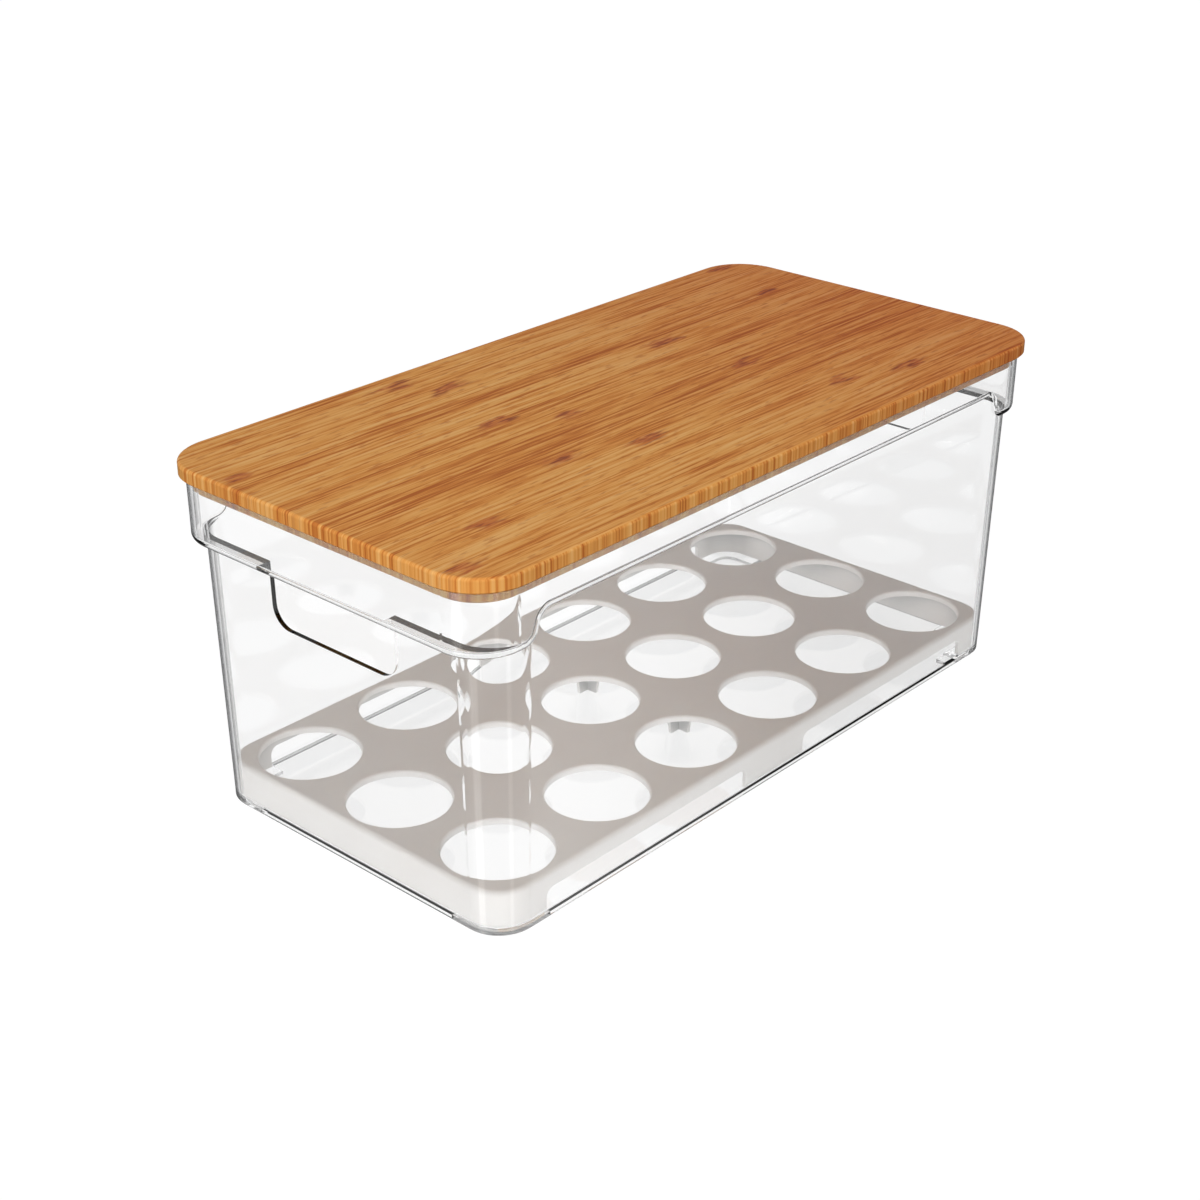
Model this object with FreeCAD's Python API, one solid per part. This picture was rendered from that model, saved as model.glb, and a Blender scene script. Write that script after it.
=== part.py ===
"""Egg keeper: a clear bin with a stepped collar, a lift-out egg tray and a rebated bamboo lid.

X runs along the bin, Y across it and Z up. The origin is on the table, under the middle of the bin.
"""
import FreeCAD, Part
import math
import os

Vector = FreeCAD.Vector

# Egg tray: a holed plate on a skirt. Its grid of holes sets the size of everything else.
hole_columns = 6
hole_rows = 3
hole_pitch_x = 49.66
hole_pitch_y = 48.56
hole_diameter = 38.4
hole_chamfer = 0.5
plate_end_margin = 3.45
plate_side_margin = 4.04
plate_thickness = 2.4
plate_corner = 12.4
plate_round = 1.9
skirt_thickness = 1.6
skirt_chamfer = 0.5
tray_height = 14.1
window_height = 8.2
window_corner = 3.4
window_end_leg = 21.2
window_middle_leg = 35.0

# Posts of two crossed ribs that carry the middle of the plate, one in each gap between the rows.
post_reach = 6.7
post_rib_half = 0.7
post_foot_share = 0.76

# Bin: drafted walls round a thin floor that is set up inside them, with a wider collar above a ledge.
bin_wall = 1.8
bin_floor = 1.0
base_recess = 1.05
bin_height = 131.4
tray_clearance = 0.4
base_round = 0.4
cavity_round = 0.8
wall_draft_deg = 1.2
collar_draft_deg = 0.5
collar_end_step = 6.35
collar_side_step = 0.7
collar_corner = 18.0
collar_end_depth = 24.3
collar_side_depth = 13.7
ledge_web = 2.2
ledge_round = 2.8

# The ledge climbs from its low level at the ends to its high level along the sides in an S-curve.
# Its straight share is what its two rounds leave of the slope between them.
s_curve_reach = 27.2
s_curve_slope_deg = 72.0
s_curve_straight_share = 0.25

# Handle opening in each end, under the ledge.
handle_width = 62.0
handle_depth = 22.1
handle_corner = 8.0

# L-shaped pads under the corners of the floor, which lift the walls off the table.
foot_height = 0.35
foot_inset = 0.5
foot_arm_width = 8.0
foot_end_arm = 24.0
foot_side_arm = 24.7

# Locating lugs on the floor along the long walls, which stand in one end of the tray's windows.
lug_length = 10.0
lug_gap = 0.8
lug_reach = 4.0
lug_wall_height = 1.3
lug_tip_height = 1.6

# Lid: a bamboo board whose rebated underside drops into the collar.
lid_overhang = 2.4
board_thickness = 5.6
board_round = 1.2
board_chamfer = 0.7
plug_depth = 4.9
plug_clearance = 0.7
plug_chamfer = 0.8

# One overrun takes every cutting tool past the faces that it opens.
overrun = 5.0

# An edge is level when it keeps to its height within this share of the wall.
level_share = 0.01

# A face is upright when its normal rises by less than this share.
upright_share = 0.1


def rounded_loop(points, radii):
    """Closed wire through the points, with each corner rounded by an arc of its radius."""
    starts = []
    ends = []
    middles = []
    for index, corner in enumerate(points):
        before = (points[index - 1] - corner).normalize()
        after = (points[(index + 1) % len(points)] - corner).normalize()
        half_angle = before.getAngle(after) / 2
        setback = radii[index] / math.tan(half_angle)
        inward = radii[index] / math.sin(half_angle) - radii[index]
        starts.append(corner + before * setback)
        ends.append(corner + after * setback)
        middles.append(corner + (before + after).normalize() * inward)
    edges = []
    for index in range(len(points)):
        if radii[index] > 0:
            edges.append(Part.Arc(starts[index], middles[index], ends[index]).toShape())
        following = (index + 1) % len(points)
        edges.append(Part.LineSegment(ends[index], starts[following]).toShape())
    return Part.Wire(edges)


def rounded_rectangle(length, width, corner, height):
    """Level rounded rectangle, centred on the Z axis."""
    half_length = length / 2
    half_width = width / 2
    points = [
        Vector(half_length, half_width, height),
        Vector(-half_length, half_width, height),
        Vector(-half_length, -half_width, height),
        Vector(half_length, -half_width, height),
    ]
    return rounded_loop(points, [corner] * len(points))


def upright_block(length, width, corner, bottom, top):
    """Solid rounded rectangle with plumb sides."""
    face = Part.Face(rounded_rectangle(length, width, corner, bottom))
    return face.extrude(Vector(0, 0, top - bottom))


def along_y(points, radii, half_depth):
    """Solid prism of an outline in the XZ plane, reaching half_depth to either side."""
    outline = rounded_loop([Vector(x, -half_depth, z) for x, z in points], radii)
    return Part.Face(outline).extrude(Vector(0, 2 * half_depth, 0))


def along_x(points, radii, first, last):
    """Solid prism of an outline in the YZ plane, from x = first to x = last."""
    outline = rounded_loop([Vector(first, y, z) for y, z in points], radii)
    return Part.Face(outline).extrude(Vector(last - first, 0, 0))


def level_edges(shape, height):
    """Edges that lie at one height."""
    near = bin_wall * level_share
    found = []
    for edge in shape.Edges:
        box = edge.BoundBox
        if abs(box.ZMin - height) < near and abs(box.ZMax - height) < near:
            found.append(edge)
    return found


def is_upright(face):
    """True for a wall, false for a floor, a rim or a ledge."""
    first_u, last_u, first_v, last_v = face.ParameterRange
    normal = face.normalAt((first_u + last_u) / 2, (first_v + last_v) / 2)
    return abs(normal.z) < upright_share


def ledge_edges(block, top):
    """Edges where the walls of a block meet its underside."""
    rim = [edge.hashCode() for edge in level_edges(block, top)]
    found = []
    for edge in block.Edges:
        walls = [face for face in block.ancestorsOfType(edge, Part.Face) if is_upright(face)]
        if len(walls) == 1 and edge.hashCode() not in rim:
            found.append(edge)
    return found


def slope(angle_deg):
    """Sideways run for each unit of height."""
    return math.tan(math.radians(angle_deg))


# Levels, from the table up.
wall_bottom = foot_height
floor_underside = wall_bottom + base_recess
floor_top = floor_underside + bin_floor
rim_top = bin_height
ledge_end_bottom = rim_top - collar_end_depth
ledge_side_bottom = rim_top - collar_side_depth
tray_top = floor_top + tray_height
plate_underside = tray_top - plate_thickness

# Plan sizes, from the holes outwards.
tray_length = (hole_columns - 1) * hole_pitch_x + hole_diameter + 2 * plate_end_margin
tray_width = (hole_rows - 1) * hole_pitch_y + hole_diameter + 2 * plate_side_margin
base_length = tray_length + 2 * (tray_clearance + bin_wall)
base_width = tray_width + 2 * (tray_clearance + bin_wall)
base_corner = plate_corner + tray_clearance + bin_wall
wall_end_rise = ledge_end_bottom - wall_bottom
wall_side_rise = ledge_side_bottom - wall_bottom
collar_length = base_length + 2 * (wall_end_rise * slope(wall_draft_deg) + collar_end_step)
collar_width = base_width + 2 * (wall_side_rise * slope(wall_draft_deg) + collar_side_step)
lid_length = collar_length + 2 * lid_overhang
lid_width = collar_width + 2 * lid_overhang
lid_corner = collar_corner + lid_overhang

# The S-curve's mean round, from its rise.
s_curve_rise = ledge_side_bottom - ledge_end_bottom
s_curve_length = s_curve_rise / math.sin(math.radians(s_curve_slope_deg))
s_curve_setback = s_curve_length * (1 - s_curve_straight_share) / 2
s_curve_round = s_curve_setback / math.tan(math.radians(s_curve_slope_deg) / 2)


def lower_body(inset, bottom, top):
    """Drafted body of the bin below its collar, with its faces moved in by the inset."""
    outlines = []
    for height in (bottom, top):
        spread = (height - wall_bottom) * slope(wall_draft_deg) - inset
        length = base_length + 2 * spread
        width = base_width + 2 * spread
        outlines.append(rounded_rectangle(length, width, base_corner + spread, height))
    return Part.makeLoft(outlines, True, True)


def collar_body(inset, bottom, top):
    """Drafted block of the collar, with its faces moved in by the inset."""
    outlines = []
    for height in (bottom, top):
        shrink = (rim_top - height) * slope(collar_draft_deg) + inset
        length = collar_length - 2 * shrink
        width = collar_width - 2 * shrink
        outlines.append(rounded_rectangle(length, width, collar_corner - shrink, height))
    return Part.makeLoft(outlines, True, True)


def under_ledge(lift, low_round, high_round):
    """Everything below the ledge, whose S-curved top is moved out by the lift."""
    low = ledge_end_bottom + lift
    high = ledge_side_bottom + lift
    shift = lift * math.tan(math.radians(s_curve_slope_deg) / 2)
    half_run = s_curve_rise / math.tan(math.radians(s_curve_slope_deg)) / 2
    middle = collar_length / 2 - s_curve_reach + shift
    far = collar_length
    points = [
        (far, wall_bottom),
        (far, low),
        (middle + half_run, low),
        (middle - half_run, high),
        (half_run - middle, high),
        (-middle - half_run, low),
        (-far, low),
        (-far, wall_bottom),
    ]
    radii = [0, 0, low_round, high_round, high_round, low_round, 0, 0]
    return along_y(points, radii, collar_width)


def stepped_collar(inset, lift, low_round, high_round, edge_round, top):
    """Collar block trimmed to the S-curved ledge, with its lower edge rounded."""
    trim = under_ledge(lift, low_round, high_round)
    bottom = ledge_end_bottom + lift - overrun
    collar = collar_body(inset, bottom, top).cut(trim)
    return collar.makeFillet(edge_round, ledge_edges(collar, top))


def handle_opening(side):
    """Hand hole through one end wall and its ledge, up to the inside of the collar wall."""
    half = handle_width / 2
    bottom = ledge_end_bottom - handle_depth
    top = ledge_end_bottom + ledge_web
    collar_inside = collar_length / 2 - bin_wall - (rim_top - ledge_end_bottom) * slope(collar_draft_deg)
    inner = base_length / 2 - bin_wall - overrun
    points = [(-half, bottom), (half, bottom), (half, top), (-half, top)]
    radii = [handle_corner, handle_corner, 0, 0]
    return along_x(points, radii, side * inner, side * collar_inside)


def corner_feet():
    """Four L-shaped pads, cut from a frame that follows the edge of the floor."""
    rooted = floor_underside + bin_floor / 2
    rings = []
    for inset in (foot_inset, foot_inset + foot_arm_width):
        length = base_length - 2 * inset
        width = base_width - 2 * inset
        rings.append(upright_block(length, width, base_corner - inset, 0, rooted))
    frame = rings[0].cut(rings[1])
    gap_x = base_length - 2 * foot_side_arm
    gap_y = base_width - 2 * foot_end_arm
    along = Part.makeBox(gap_x, base_width, rooted, Vector(-gap_x / 2, -base_width / 2, 0))
    across = Part.makeBox(base_length, gap_y, rooted, Vector(-base_length / 2, -gap_y / 2, 0))
    return frame.cut(along).cut(across)


def locating_lug(side):
    """Low block on the floor along one long wall, which stands in the end of a tray window."""
    wall_inside = base_width / 2 - bin_wall
    tip = wall_inside - lug_reach
    points = [
        (side * (wall_inside + bin_wall / 2), floor_top - bin_floor / 2),
        (side * (wall_inside + bin_wall / 2), floor_top + lug_wall_height),
        (side * wall_inside, floor_top + lug_wall_height),
        (side * tip, floor_top + lug_tip_height),
        (side * tip, floor_top - bin_floor / 2),
    ]
    last = tray_length / 2 - window_end_leg - lug_gap
    return along_x(points, [0] * len(points), last - lug_length, last)


def make_bin():
    """Clear moulded bin: walls, floor, stepped collar, hand holes, feet and lugs."""
    body = lower_body(0, wall_bottom, rim_top)
    body = body.makeFillet(base_round, level_edges(body, wall_bottom))
    wide_round = s_curve_round + ledge_web / 2
    tight_round = s_curve_round - ledge_web / 2
    body = body.fuse(stepped_collar(0, 0, wide_round, tight_round, ledge_round, rim_top))

    above = rim_top + overrun
    cavity = lower_body(bin_wall, floor_top, above)
    cavity = cavity.makeFillet(cavity_round, level_edges(cavity, floor_top))
    pocket_round = ledge_round - bin_wall
    pocket = stepped_collar(bin_wall, ledge_web, tight_round, wide_round, pocket_round, above)
    recess = upright_block(
        base_length - 2 * bin_wall, base_width - 2 * bin_wall, base_corner - bin_wall,
        wall_bottom - overrun, floor_underside)
    shell = body.cut(cavity).cut(pocket).cut(recess)

    for side in (-1, 1):
        shell = shell.cut(handle_opening(side))
        shell = shell.fuse(locating_lug(side))
    shell = shell.fuse(corner_feet()).removeSplitter()
    return shell


def make_tray():
    """Egg tray: skirted plate with a grid of chamfered holes, skirt windows and two posts."""
    tray = upright_block(tray_length, tray_width, plate_corner, floor_top, tray_top)
    tray = tray.makeFillet(plate_round, level_edges(tray, tray_top))
    tray = tray.makeChamfer(skirt_chamfer, level_edges(tray, floor_top))
    inside = upright_block(
        tray_length - 2 * skirt_thickness, tray_width - 2 * skirt_thickness,
        plate_corner - skirt_thickness, floor_top - overrun, plate_underside)
    tray = tray.cut(inside)

    first_x = -(hole_columns - 1) * hole_pitch_x / 2
    first_y = -(hole_rows - 1) * hole_pitch_y / 2
    for column in range(hole_columns):
        for row in range(hole_rows):
            corner = Vector(first_x + column * hole_pitch_x, first_y + row * hole_pitch_y, floor_top)
            tray = tray.cut(Part.makeCylinder(hole_diameter / 2, tray_height + overrun, corner))
    rims = []
    for edge in level_edges(tray, tray_top):
        if isinstance(edge.Curve, Part.Circle) and edge.isClosed():
            rims.append(edge)
    tray = tray.makeChamfer(hole_chamfer, rims)

    inner_end = window_middle_leg / 2
    outer_end = tray_length / 2 - window_end_leg
    top = floor_top + window_height
    below = floor_top - overrun
    for side in (-1, 1):
        points = [
            (side * inner_end, below),
            (side * outer_end, below),
            (side * outer_end, top),
            (side * inner_end, top),
        ]
        radii = [0, 0, window_corner, window_corner]
        tray = tray.cut(along_y(points, radii, tray_width))

    for row in range(hole_rows - 1):
        tray = tray.fuse(support_post(first_y + (row + 0.5) * hole_pitch_y))
    return tray.removeSplitter()


def cross_outline(reach, half_width, y, height):
    """Plus-shaped outline centred at x = 0."""
    points = []
    for turn in range(4):
        quarter = math.radians(90 * turn)
        for along, across in ((reach, -half_width), (reach, half_width), (half_width, half_width)):
            px = along * math.cos(quarter) - across * math.sin(quarter)
            py = along * math.sin(quarter) + across * math.cos(quarter)
            points.append(Vector(px, y + py, height))
    return Part.makePolygon(points + points[:1])


def support_post(y):
    """Crossed ribs from the plate down to the bin floor, narrower at the foot."""
    top = plate_underside + plate_thickness / 2
    foot = cross_outline(post_reach * post_foot_share, post_rib_half, y, floor_top)
    head = cross_outline(post_reach, post_rib_half, y, top)
    return Part.makeLoft([foot, head], True, True)


def make_lid():
    """Bamboo lid: round-edged board over a plug that fits inside the collar."""
    lid_top = rim_top + board_thickness
    board = upright_block(lid_length, lid_width, lid_corner, rim_top, lid_top)
    board = board.makeFillet(board_round, level_edges(board, lid_top))
    board = board.makeChamfer(board_chamfer, level_edges(board, rim_top))
    inset = bin_wall + plug_clearance
    bottom = rim_top - plug_depth
    plug = upright_block(
        collar_length - 2 * inset, collar_width - 2 * inset, collar_corner - inset,
        bottom, rim_top + board_thickness / 2)
    plug = plug.makeChamfer(plug_chamfer, level_edges(plug, bottom))
    return board.fuse(plug).removeSplitter()


pieces = {
    "clear_bin": make_bin(),
    "egg_tray": make_tray(),
    "bamboo_lid": make_lid(),
}

os.makedirs("parts", exist_ok=True)
for name, shape in pieces.items():
    solids = shape.Solids
    print(name, "solids", len(solids), "valid", shape.isValid(), "volume", round(shape.Volume))
    solids[0].exportStep("parts/" + name + ".step")
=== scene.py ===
import math

import bpy
import mathutils
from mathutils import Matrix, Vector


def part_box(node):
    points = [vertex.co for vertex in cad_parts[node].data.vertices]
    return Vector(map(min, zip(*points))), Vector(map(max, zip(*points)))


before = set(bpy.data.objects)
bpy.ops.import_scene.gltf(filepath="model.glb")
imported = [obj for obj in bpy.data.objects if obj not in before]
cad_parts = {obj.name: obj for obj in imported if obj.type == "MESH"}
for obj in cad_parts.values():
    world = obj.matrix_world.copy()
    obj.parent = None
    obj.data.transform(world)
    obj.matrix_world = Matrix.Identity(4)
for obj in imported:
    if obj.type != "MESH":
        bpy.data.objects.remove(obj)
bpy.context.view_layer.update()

# Spans and colours that many shaders share
rising = (0.0, 1.0)
falling = (1.0, 0.0)
noise_span = (0.0, 1.0)
white = (1.0, 1.0, 1.0, 1.0)

# Camera: the photograph's station, in metres and degrees, on a full-frame sensor
camera_place = (-0.54375, -0.47543, 0.40234)
camera_tilt_deg = 64.006
camera_turn_deg = -47.87
camera_lens_mm = 61.59
camera_sensor_mm = 36.0

# Light paths: few mirror bounces, so that light trapped in the plastic goes dark
path_bounces = 24
mirror_bounces = 8
glossy_blur = 0.0

# Table, in metres: a lit square that is seen, and a dimmer one just below it that lights the outer faces
floor_half = 60.0
floor_grey = 0.06
floor_glow = 0.98
bounce_glow = 0.1
bounce_drop = 0.002

# Sky: brightest towards the near left, with an even band above the horizon.
# Heights here and for the ground are the upward parts of a direction.
sky_near = 0.77
sky_far = 0.25
sky_towards = (-0.75, -0.62, 0.25)
sky_horizon = 0.76
horizon_heights = (-0.03, -0.01)
horizon_fade_heights = (0.06, 0.22)

# Ground, which only mirrors see. Its brightness goes by compass direction in degrees:
# lit on the near side, with two bright cards, and dark on the far side.
# The lit part is a belt that fades in and out between these heights.
ground_gain = 2.8
ground_dark = 0.08
ground_stops = [(-180, 1.0), (-177, 1.0), (-172, 0.45), (-110, 0.45), (-105, 0.9),
                (-100, 0.9), (-95, 0.45), (-42, 0.45), (-34, 0.03), (118, 0.03),
                (124, 0.22), (150, 0.3), (164, 0.45), (170, 1.0), (180, 1.0)]
belt_bottom_heights = (-0.68, -0.60)
belt_top_heights = (-0.36, -0.28)

# Softbox, in metres
softbox_place = (-1.08, -0.66, 0.48)
softbox_aim = (-0.05, -0.03, 0.08)
softbox_side = 0.55
softbox_watts = 7.5

# Clear plastic, in metres, with a painted dark shade where a bent wall above the bin's floor is seen edge on
plastic_ior = 1.57
plastic_tint = (0.988, 0.989, 0.990, 1.0)
painted_edge_shade_colour = (0.09, 0.092, 0.095, 1.0)
painted_edge_shares = (0.51, 0.74)
facing_blend = 0.5
corner_reach = 0.024
corner_fade = 0.004
level_shares = (0.1, 0.25)
collar_zone = (0.030, 0.035)
haze_per_metre = (260.0, 260.0, 90.0)
haze_shares = (0.35, 0.75)
haze_roughness = (0.0, 0.006)
flow_per_metre = (26.0, 26.0, 9.0)
flow_strength = 0.02
flow_depth = 0.0004

# Tray plastic, in metres, with painted shade on the faces that the tray itself encloses
tray_light = (0.725, 0.712, 0.698, 1.0)
tray_dark = (0.695, 0.675, 0.655, 1.0)
tray_painted_shade_colour = (0.34, 0.338, 0.332, 1.0)
tray_painted_shade_reach = 0.02
tray_painted_shade_shares = (0.6, 0.97)
tray_painted_shade_samples = 8
cloud_per_metre = (30.0, 30.0, 30.0)
cloud_shares = (0.3, 0.7)
spark_per_metre = (2200.0, 2200.0, 2200.0)
spark_shares = (0.3, 0.7)
spark_roughness = (0.42, 0.58)
spark_strength = 0.12
spark_depth = 0.00006

# Bamboo colours
bamboo_deep = (0.50, 0.134, 0.024, 1.0)
bamboo_warm = (0.71, 0.262, 0.052, 1.0)
bamboo_gold = (0.83, 0.385, 0.096, 1.0)
bamboo_pale = (0.90, 0.490, 0.165, 1.0)
bamboo_knuckle = (0.58, 0.165, 0.044, 1.0)
bamboo_speck = (0.30, 0.078, 0.028, 1.0)
bamboo_shades = [bamboo_deep, bamboo_warm, bamboo_gold, bamboo_pale]

# Bamboo strips along X, in metres, with fibres and wider streaks on the board's faces
strip_width = 0.0082
strip_wander = 0.0012
wander_per_metre = (5.0, 40.0, 0.0)
strip_tone = 0.10
fibre_per_metre = (20.0, 720.0, 0.0)
fibre_noise_roughness = 0.62
fibre_contrast = (-0.3, 1.3)
streak_per_metre = (7.0, 150.0, 0.0)
streak_contrast = 0.3
top_stop_shares = [0.22, 0.39, 0.55, 0.78]
fibre_shares = (0.3, 0.7)
fibre_roughness = (0.58, 0.44)
fibre_strength = 0.25
fibre_depth = 0.00012
bamboo_specular = 0.15

# Bamboo's long edges, which show short upright lines
line_per_metre = (760.0, 0.0, 0.0)
line_contrast = (-0.1, 1.1)
patch_per_metre = (190.0, 0.0, 0.0)
patch_contrast = 0.5
side_stop_shares = [0.27, 0.41, 0.56, 0.80]
side_lean_shares = (0.45, 0.75)

# Bamboo's dark dashes, and a knuckle mark at (x, y, half length) in metres where a cane had a joint
dash_per_metre = (110.0, 620.0, 0.0)
dash_shares = (0.32, 0.44)
dash_strength = (0.55, 0.0)
speck_shares = (0.34, 0.52)
wear_shares = (0.5, 0.7)
wear_strength = (1.0, 0.3)
knuckle_half_width = 0.0046
knuckle_edge_shares = (0.35, 1.0)
fray_per_metre = (70.0, 330.0, 0.0)
fray_reach = 1.1
knuckles = [(-0.057, 0.069, 0.011), (-0.043, 0.053, 0.014), (-0.058, 0.0146, 0.012),
            (-0.0335, 0.0008, 0.008), (-0.067, -0.0264, 0.011), (-0.152, 0.043, 0.007),
            (0.050, 0.028, 0.013), (0.052, -0.011, 0.010), (-0.032, -0.036, 0.012),
            (0.131, 0.038, 0.010), (0.062, -0.051, 0.009), (0.094, -0.059, 0.012),
            (0.144, 0.074, 0.009), (-0.123, -0.046, 0.010), (-0.151, -0.064, 0.009)]

# Bamboo's painted shade, darker and redder towards +X, and the painted shade on the plug under the rim, in
# metres
painted_far_shade_span = (-0.02, 0.16)
painted_far_shade_colour = (0.88, 0.67, 0.60, 1.0)
plug_fade = 0.0004
plug_painted_shade_colour = (0.46, 0.58, 0.74, 1.0)


def both_ways(size):
    return -size, size


def new_material(name):
    """An empty node material, with its tree."""
    material = bpy.data.materials.new(name)
    material.use_nodes = True
    tree = material.node_tree
    tree.nodes.clear()
    return material, tree


def node(tree, kind, sockets, **properties):
    """A node of that kind. Each named socket is linked if its value is another socket, or else set."""
    made = tree.nodes.new(kind)
    for name, value in properties.items():
        setattr(made, name, value)
    for name, value in sockets.items():
        if isinstance(value, bpy.types.NodeSocket):
            tree.links.new(value, made.inputs[name])
        else:
            made.inputs[name].default_value = value
    return made


def surface(tree, sockets):
    """Ends a material with a Principled shader."""
    shader = node(tree, "ShaderNodeBsdfPrincipled", sockets)
    node(tree, "ShaderNodeOutputMaterial", {"Surface": shader.outputs["BSDF"]})


def calculate(tree, operation, first, second=0.0):
    return node(tree, "ShaderNodeMath", {0: first, 1: second}, operation=operation).outputs[0]


def spread(tree, value, span, reach, smooth=False):
    """A value within a span, spread over a reach and held at its ends outside."""
    sockets = {"Value": value, "From Min": span[0], "From Max": span[1],
               "To Min": reach[0], "To Max": reach[1]}
    kind = "SMOOTHSTEP" if smooth else "LINEAR"
    return node(tree, "ShaderNodeMapRange", sockets, interpolation_type=kind).outputs[0]


def between(tree, share, first, second):
    """Two numbers mixed by a share."""
    return node(tree, "ShaderNodeMix", {0: share, 2: first, 3: second}).outputs[0]


def blend(tree, share, first, second, way="MIX"):
    """Two colours mixed by a share."""
    sockets = {0: share, 6: first, 7: second}
    return node(tree, "ShaderNodeMix", sockets, data_type="RGBA", blend_type=way).outputs[2]


def shades(tree, share, stops):
    """A colour ramp through (place, colour) stops."""
    made = node(tree, "ShaderNodeValToRGB", {"Fac": share})
    ramp = made.color_ramp
    while len(ramp.elements) < len(stops):
        ramp.elements.new(1.0)
    for element, (place, colour) in zip(ramp.elements, stops):
        element.position = place
        element.color = colour
    return made.outputs["Color"]


def grain(tree, place, per_metre, detail=3.0, roughness=0.55):
    """Noise with its own fineness along each axis."""
    mapped = node(tree, "ShaderNodeMapping", {"Vector": place, "Scale": per_metre}).outputs[0]
    sockets = {"Vector": mapped, "Scale": 1.0, "Detail": detail, "Roughness": roughness}
    return node(tree, "ShaderNodeTexNoise", sockets).outputs[0]


def relief(tree, height, strength, depth):
    """A normal that a height pattern disturbs."""
    sockets = {"Height": height, "Strength": strength, "Distance": depth}
    return node(tree, "ShaderNodeBump", sockets).outputs[0]


def split(tree, vector):
    return node(tree, "ShaderNodeSeparateXYZ", {0: vector}).outputs


def bent_walls(tree, coordinates):
    """Where the bin's wall bends, from 0 to 1: its upright corners, and the level faces of its collar."""
    x, y, z = split(tree, coordinates["Object"])
    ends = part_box("clear_bin")[1]
    corner = 1.0
    for place, end in ((x, ends[0]), (y, ends[1])):
        start = end - corner_reach
        near_end = spread(tree, calculate(tree, "ABSOLUTE", place), (start, start + corner_fade), rising)
        corner = calculate(tree, "MULTIPLY", near_end, corner)
    lean = calculate(tree, "ABSOLUTE", split(tree, coordinates["Normal"])["Z"])
    level = spread(tree, lean, level_shares, rising)
    level = calculate(tree, "MULTIPLY", level, spread(tree, z, collar_zone, rising))
    return calculate(tree, "MAXIMUM", corner, level)


def clear_plastic():
    material, tree = new_material("clear_plastic_moulded")
    coordinates = node(tree, "ShaderNodeTexCoord", {}).outputs
    place = coordinates["Object"]
    facing = node(tree, "ShaderNodeLayerWeight", {"Blend": facing_blend}).outputs["Facing"]
    edge = spread(tree, facing, painted_edge_shares, rising, smooth=True)
    # Painted shade: bent walls seen edge on are coloured dark
    painted_edge_shade = calculate(tree, "MULTIPLY", edge, bent_walls(tree, coordinates))
    haze = grain(tree, place, haze_per_metre)
    flow = grain(tree, place, flow_per_metre, detail=1.0)
    surface(tree, {"Base Color": blend(tree, painted_edge_shade, plastic_tint, painted_edge_shade_colour),
                   "Transmission Weight": 1.0, "IOR": plastic_ior,
                   "Roughness": spread(tree, haze, haze_shares, haze_roughness),
                   "Normal": relief(tree, flow, flow_strength, flow_depth)})
    return material


def tray_plastic():
    material, tree = new_material("tray_plastic_moulded")
    place = node(tree, "ShaderNodeTexCoord", {}).outputs["Object"]
    cloud = grain(tree, place, cloud_per_metre)
    spark = grain(tree, place, spark_per_metre)
    plain = blend(tree, spread(tree, cloud, cloud_shares, rising), tray_light, tray_dark)
    # Painted shade: Ambient Occlusion of the tray alone darkens the faces it encloses
    openness = node(tree, "ShaderNodeAmbientOcclusion", {"Distance": tray_painted_shade_reach},
                    only_local=True, samples=tray_painted_shade_samples)
    painted_shade = spread(tree, openness.outputs["AO"], tray_painted_shade_shares, falling)
    surface(tree, {"Base Color": blend(tree, painted_shade, plain, tray_painted_shade_colour),
                   "Roughness": spread(tree, spark, spark_shares, spark_roughness),
                   "Normal": relief(tree, spark, spark_strength, spark_depth)})
    return material


def bamboo_faces(tree, place, fibre):
    """The board's faces: fibres and streaks, with a tone of its own for each strip."""
    wander = spread(tree, grain(tree, place, wander_per_metre), noise_span, both_ways(strip_wander))
    across = calculate(tree, "ADD", split(tree, place)["Y"], wander)
    strip = calculate(tree, "FLOOR", calculate(tree, "DIVIDE", across, strip_width))
    tone = node(tree, "ShaderNodeTexWhiteNoise", {"W": strip}, noise_dimensions="1D").outputs["Value"]
    streak = grain(tree, place, streak_per_metre, detail=2.0)
    shade = calculate(tree, "ADD", spread(tree, fibre, noise_span, fibre_contrast),
                      spread(tree, streak, noise_span, both_ways(streak_contrast)))
    shade = calculate(tree, "ADD", shade, spread(tree, tone, noise_span, both_ways(strip_tone)))
    return shades(tree, shade, list(zip(top_stop_shares, bamboo_shades)))


def bamboo_edges(tree, place):
    """The board's long edges: fine upright lines in wider patches."""
    line = grain(tree, place, line_per_metre, detail=2.0)
    patch = grain(tree, place, patch_per_metre, detail=2.0)
    shade = calculate(tree, "ADD", spread(tree, line, noise_span, line_contrast),
                      spread(tree, patch, noise_span, both_ways(patch_contrast)))
    return shades(tree, shade, list(zip(side_stop_shares, bamboo_shades)))


def knuckle_marks(tree, place):
    """How much of a knuckle's dark band lies at a place, from 0 to 1."""
    fray = spread(tree, grain(tree, place, fray_per_metre, detail=2.0), noise_span, both_ways(fray_reach))
    total = 0.0
    for x, y, half_length in knuckles:
        scale = (1 / half_length, 1 / knuckle_half_width, 0)
        shift = (-x / half_length, -y / knuckle_half_width, 0)
        mapped = node(tree, "ShaderNodeMapping", {"Vector": place, "Scale": scale, "Location": shift})
        far = node(tree, "ShaderNodeVectorMath", {0: mapped.outputs[0]}, operation="LENGTH").outputs["Value"]
        frayed = calculate(tree, "ADD", far, fray)
        mark = spread(tree, frayed, knuckle_edge_shares, falling, smooth=True)
        total = calculate(tree, "MAXIMUM", mark, total)
    return total


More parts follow.
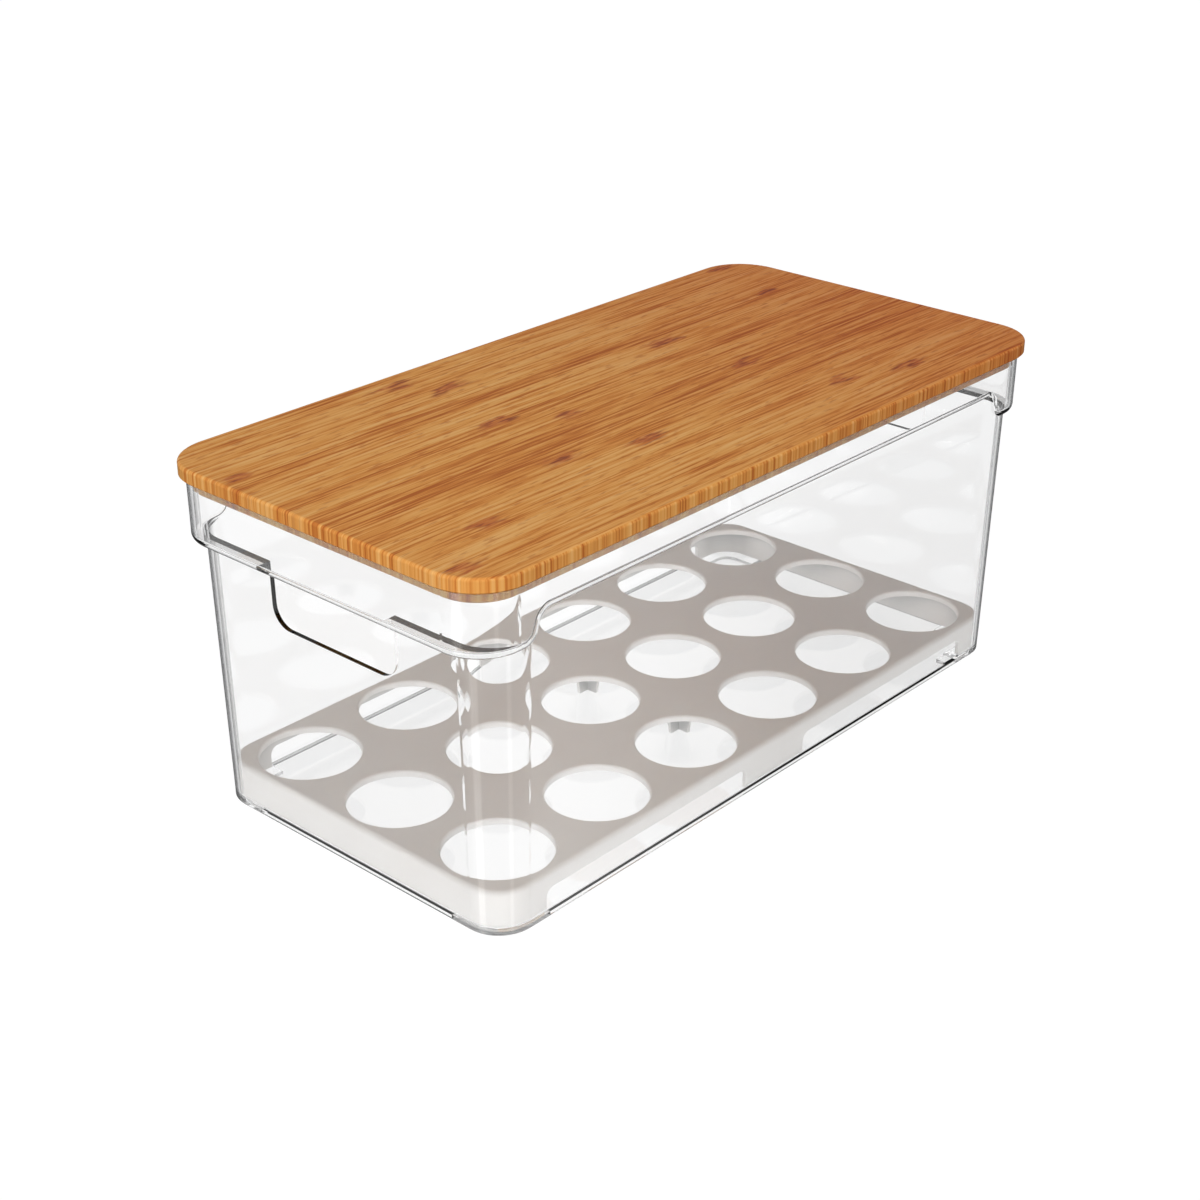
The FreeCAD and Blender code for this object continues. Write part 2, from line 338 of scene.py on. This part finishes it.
def bamboo():
    material, tree = new_material("bamboo_laminated")
    coordinates = node(tree, "ShaderNodeTexCoord", {}).outputs
    place = coordinates["Object"]
    axes = split(tree, place)

    fibre = grain(tree, place, fibre_per_metre, roughness=fibre_noise_roughness)
    lean = calculate(tree, "ABSOLUTE", split(tree, coordinates["Normal"])["Y"])
    edge = spread(tree, lean, side_lean_shares, rising, smooth=True)
    colour = blend(tree, edge, bamboo_faces(tree, place, fibre), bamboo_edges(tree, place))

    dash = grain(tree, place, dash_per_metre, detail=2.0)
    colour = blend(tree, spread(tree, dash, dash_shares, dash_strength), colour, bamboo_deep)
    knuckle = blend(tree, spread(tree, dash, speck_shares, falling), bamboo_knuckle, bamboo_speck)
    worn = spread(tree, dash, wear_shares, wear_strength)
    marks = calculate(tree, "MULTIPLY", knuckle_marks(tree, place), worn)
    colour = blend(tree, marks, colour, knuckle)

    # Painted shade: the board is darkened and reddened towards +X
    painted_far_shade = shades(tree, spread(tree, axes["X"], painted_far_shade_span, rising), [(0.0, white), (1.0, painted_far_shade_colour)])
    colour = blend(tree, 1.0, colour, painted_far_shade, way="MULTIPLY")
    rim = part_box("clear_bin")[1][2]
    # Painted shade: the plug below the rim is darkened and greyed
    plug_painted_shade = spread(tree, axes["Z"], (rim - plug_fade, rim), falling)
    colour = blend(tree, plug_painted_shade, colour, plug_painted_shade_colour, way="MULTIPLY")

    surface(tree, {"Base Color": colour, "Roughness": spread(tree, fibre, fibre_shares, fibre_roughness),
                   "Specular IOR Level": bamboo_specular,
                   "Normal": relief(tree, fibre, fibre_strength, fibre_depth)})
    return material


def dress(node_name, material):
    """Gives a CAD node its finished material."""
    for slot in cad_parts[node_name].material_slots:
        slot.material = material


def make_floor(name, height, glow):
    """A lit square of table, unseen by mirrors."""
    corners = [(-floor_half, -floor_half, height), (floor_half, -floor_half, height),
               (floor_half, floor_half, height), (-floor_half, floor_half, height)]
    mesh = bpy.data.meshes.new(name)
    mesh.from_pydata(corners, [], [(0, 1, 2, 3)])
    floor = bpy.data.objects.new(name, mesh)
    bpy.context.scene.collection.objects.link(floor)
    material, tree = new_material(name)
    surface(tree, {"Base Color": (floor_grey, floor_grey, floor_grey, 1.0), "Specular IOR Level": 0.0,
                   "Emission Color": white, "Emission Strength": glow})
    mesh.materials.append(material)
    floor.visible_glossy = False
    return floor


def make_table():
    """The table that is seen, and the one below it that only lights."""
    seen = make_floor("floor", 0.0, floor_glow)
    seen.visible_diffuse = False
    lighting = make_floor("floor_bounce", -bounce_drop, bounce_glow)
    lighting.visible_camera = False
    lighting.visible_transmission = False


def sky_strength(tree, way, height):
    """Brighter towards the near left, and even in a band above the horizon."""
    sockets = {0: way, 1: sky_towards}
    towards = node(tree, "ShaderNodeVectorMath", sockets, operation="DOT_PRODUCT").outputs["Value"]
    above = spread(tree, towards, (-1.0, 1.0), (sky_far, sky_near), smooth=True)
    band = spread(tree, height, horizon_fade_heights, falling, smooth=True)
    return between(tree, band, above, sky_horizon)


def ground_strength(tree, way, height):
    """A belt whose brightness goes by compass direction, and dark above and below it."""
    axes = split(tree, way)
    turn = calculate(tree, "ARCTAN2", axes["Y"], axes["X"])
    compass = spread(tree, turn, both_ways(math.pi), rising)
    stops = [((math.radians(degrees) + math.pi) / math.tau, (value, value, value, 1.0))
             for degrees, value in ground_stops]
    lit = calculate(tree, "MULTIPLY", shades(tree, compass, stops), ground_gain)
    above_bottom = spread(tree, height, belt_bottom_heights, rising, smooth=True)
    below_top = spread(tree, height, belt_top_heights, falling, smooth=True)
    return between(tree, calculate(tree, "MULTIPLY", above_bottom, below_top), ground_dark, lit)


def make_sky():
    world = bpy.data.worlds.new("studio")
    world.use_nodes = True
    tree = world.node_tree
    tree.nodes.clear()
    way = node(tree, "ShaderNodeTexCoord", {}).outputs["Generated"]
    height = split(tree, way)["Z"]
    below = spread(tree, height, horizon_heights, falling)
    strength = between(tree, below, sky_strength(tree, way, height), ground_strength(tree, way, height))
    background = node(tree, "ShaderNodeBackground", {"Strength": strength, "Color": white})
    node(tree, "ShaderNodeOutputWorld", {"Surface": background.outputs[0]})
    bpy.context.scene.world = world


def make_softbox():
    """A square lamp at the near left, which only lights: neither the camera nor mirrors show it."""
    data = bpy.data.lights.new("softbox", "AREA")
    data.size = softbox_side
    data.energy = softbox_watts
    lamp = bpy.data.objects.new("softbox", data)
    lamp.location = softbox_place
    aim = mathutils.Vector(softbox_aim) - mathutils.Vector(softbox_place)
    lamp.rotation_euler = aim.to_track_quat("-Z", "Y").to_euler()
    lamp.visible_camera = False
    lamp.visible_glossy = False
    bpy.context.scene.collection.objects.link(lamp)


def make_camera():
    data = bpy.data.cameras.new("camera")
    data.lens = camera_lens_mm
    data.sensor_width = camera_sensor_mm
    camera = bpy.data.objects.new("camera", data)
    camera.location = camera_place
    camera.rotation_euler = (math.radians(camera_tilt_deg), 0, math.radians(camera_turn_deg))
    bpy.context.scene.collection.objects.link(camera)
    bpy.context.scene.camera = camera


def set_light_paths():
    bpy.context.scene.view_settings.view_transform = "Standard"
    cycles = bpy.context.scene.cycles
    cycles.blur_glossy = glossy_blur
    cycles.max_bounces = path_bounces
    cycles.transmission_bounces = path_bounces
    cycles.glossy_bounces = mirror_bounces


dress("clear_bin", clear_plastic())
dress("egg_tray", tray_plastic())
dress("bamboo_lid", bamboo())
make_table()
make_sky()
make_softbox()
make_camera()
set_light_paths()
